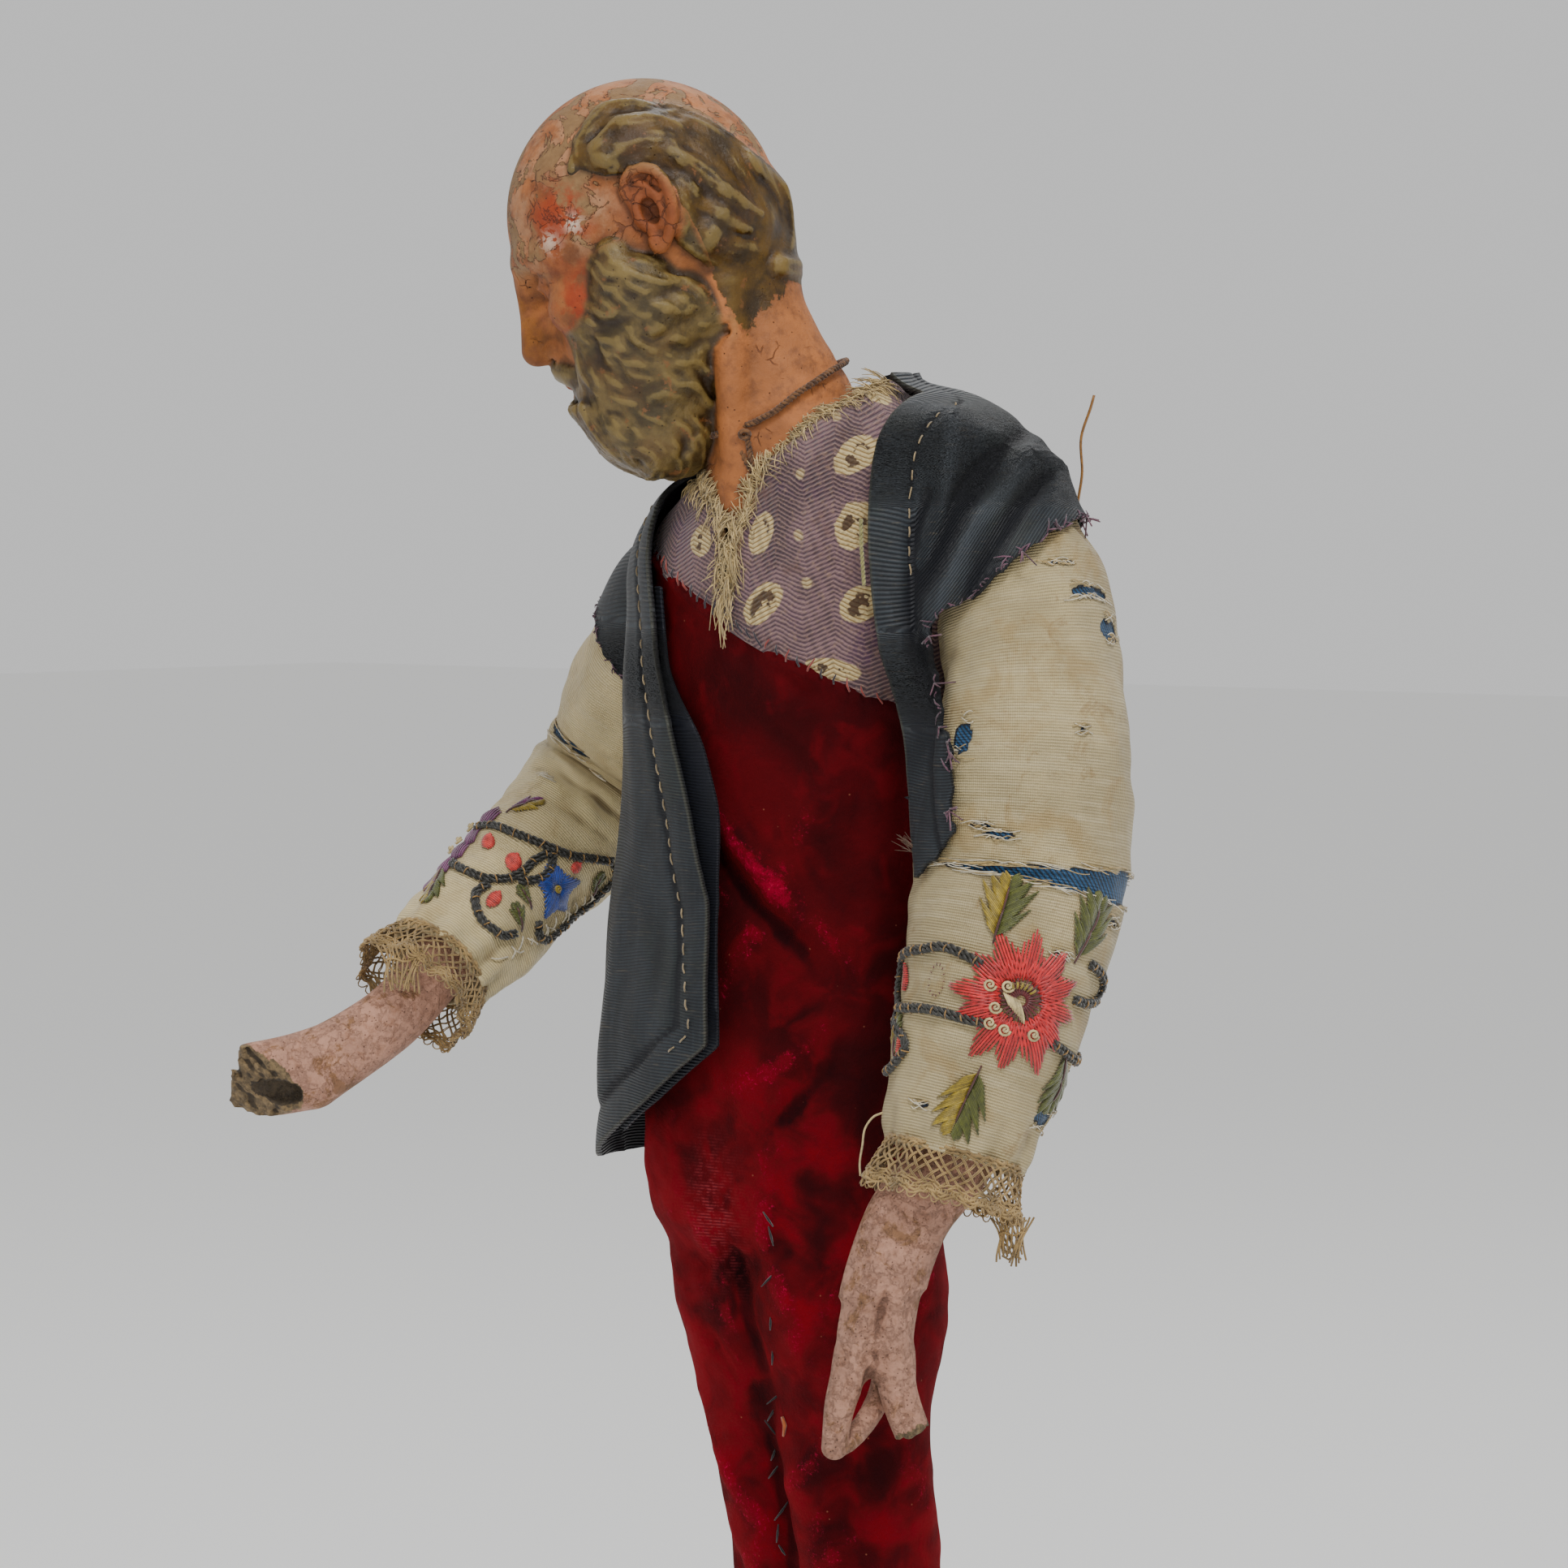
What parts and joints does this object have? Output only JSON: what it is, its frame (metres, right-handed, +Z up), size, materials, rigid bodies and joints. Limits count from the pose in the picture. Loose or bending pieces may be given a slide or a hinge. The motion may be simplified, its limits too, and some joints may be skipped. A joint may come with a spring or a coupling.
{
  "type": "presepe figure",
  "caption": "Dressed crèche figure of a stooping, bald, bearded man in velvet breeches, open waistcoat and embroidered sleeves, one hand held out, on a low base.",
  "frame": {"origin": "middle of the base's underside", "axes": "+Z up, -Y the way the figure faces, +X its left side"},
  "size_m": [0.1462, 0.0937, 0.3531],
  "materials": {
    "painted_clay": "old oil paint on fired clay, satin, flaked and dirty",
    "painted_wood": "carved wood, pinkish paint, worn and speckled",
    "printed_cotton": "coarse purple-grey twill with cream printed ovals",
    "slate_silk": "ribbed slate-blue silk, faded",
    "crimson_velvet": "crushed crimson velvet, worn",
    "cream_silk": "stained cream silk with coloured embroidery",
    "bobbin_lace": "brown bobbin lace, torn",
    "brown_thread": "twisted brown thread",
    "base_wood": "dark stained wood, satin"
  },
  "bodies": {
    "root": {"base": "base_wood", "leg_left": "painted_wood", "leg_right": "painted_wood", "velvet_breeches": "crimson_velvet", "shirt": "printed_cotton", "waistcoat": "slate_silk", "sleeve_left": "cream_silk", "sleeve_right": "cream_silk", "lace_cuff_left": "bobbin_lace", "lace_cuff_right": "bobbin_lace", "hand_left": "painted_wood", "hand_right": "painted_wood", "head": "painted_clay", "neck_thread": "brown_thread"}
  },
  "joints": []
}
